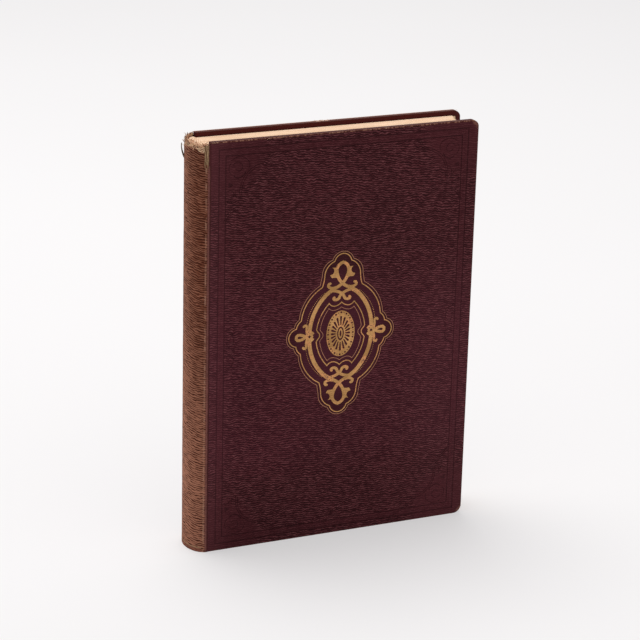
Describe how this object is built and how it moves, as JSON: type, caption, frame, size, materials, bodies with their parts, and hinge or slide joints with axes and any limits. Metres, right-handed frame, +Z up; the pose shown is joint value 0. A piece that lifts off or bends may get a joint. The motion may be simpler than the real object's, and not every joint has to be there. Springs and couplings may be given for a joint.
{
  "type": "hardback book",
  "caption": "Old cloth-bound hardback book with a rounded spine torn at the head, blind-tooled covers that open and a gilt strapwork centrepiece.",
  "frame": {"origin": "under the middle of the closed book's bounding box, on the surface it stands on", "axes": "+Z up from tail to head; +X from the spine to the fore-edge; +Y from the front cover to the back cover"},
  "size_m": [0.135, 0.0214, 0.19],
  "materials": {
    "page_paper": "matt, toned edges",
    "endpaper": "matt",
    "lining_card": "matt",
    "board": "matt grey-brown millboard",
    "cover_cloth": "dark burgundy, wavy grain, worn shine",
    "spine_cloth": "faded brown, wavy grain",
    "gauze": "open weave, glued",
    "cord": "twisted hemp",
    "gold_leaf": "worn gold leaf"
  },
  "bodies": {
    "book_block": {"text_block": "page_paper", "sewing_cords": "cord", "spine_mull": "gauze", "spine_lining": "endpaper", "front_flyleaf": "endpaper", "back_flyleaf": "endpaper", "spine_inlay": "lining_card", "spine_cloth": "spine_cloth"},
    "front_cover": {"front_board": "board", "front_cover_cloth": "cover_cloth", "front_mull_flange": "gauze", "front_pastedown": "endpaper", "gilt_centrepiece": "gold_leaf"},
    "back_cover": {"back_board": "board", "back_cover_cloth": "cover_cloth", "back_mull_flange": "gauze", "back_pastedown": "endpaper"}
  },
  "joints": [
    {"name": "front_joint", "type": "hinge", "parent": "book_block", "child": "front_cover", "pos_m": [-0.0603, -0.0107, 0.095], "axis": [0, 0, -1], "range_deg": [0, 175]},
    {"name": "back_joint", "type": "hinge", "parent": "book_block", "child": "back_cover", "pos_m": [-0.0603, 0.0107, 0.095], "axis": [0, 0, 1], "range_deg": [0, 175]}
  ]
}
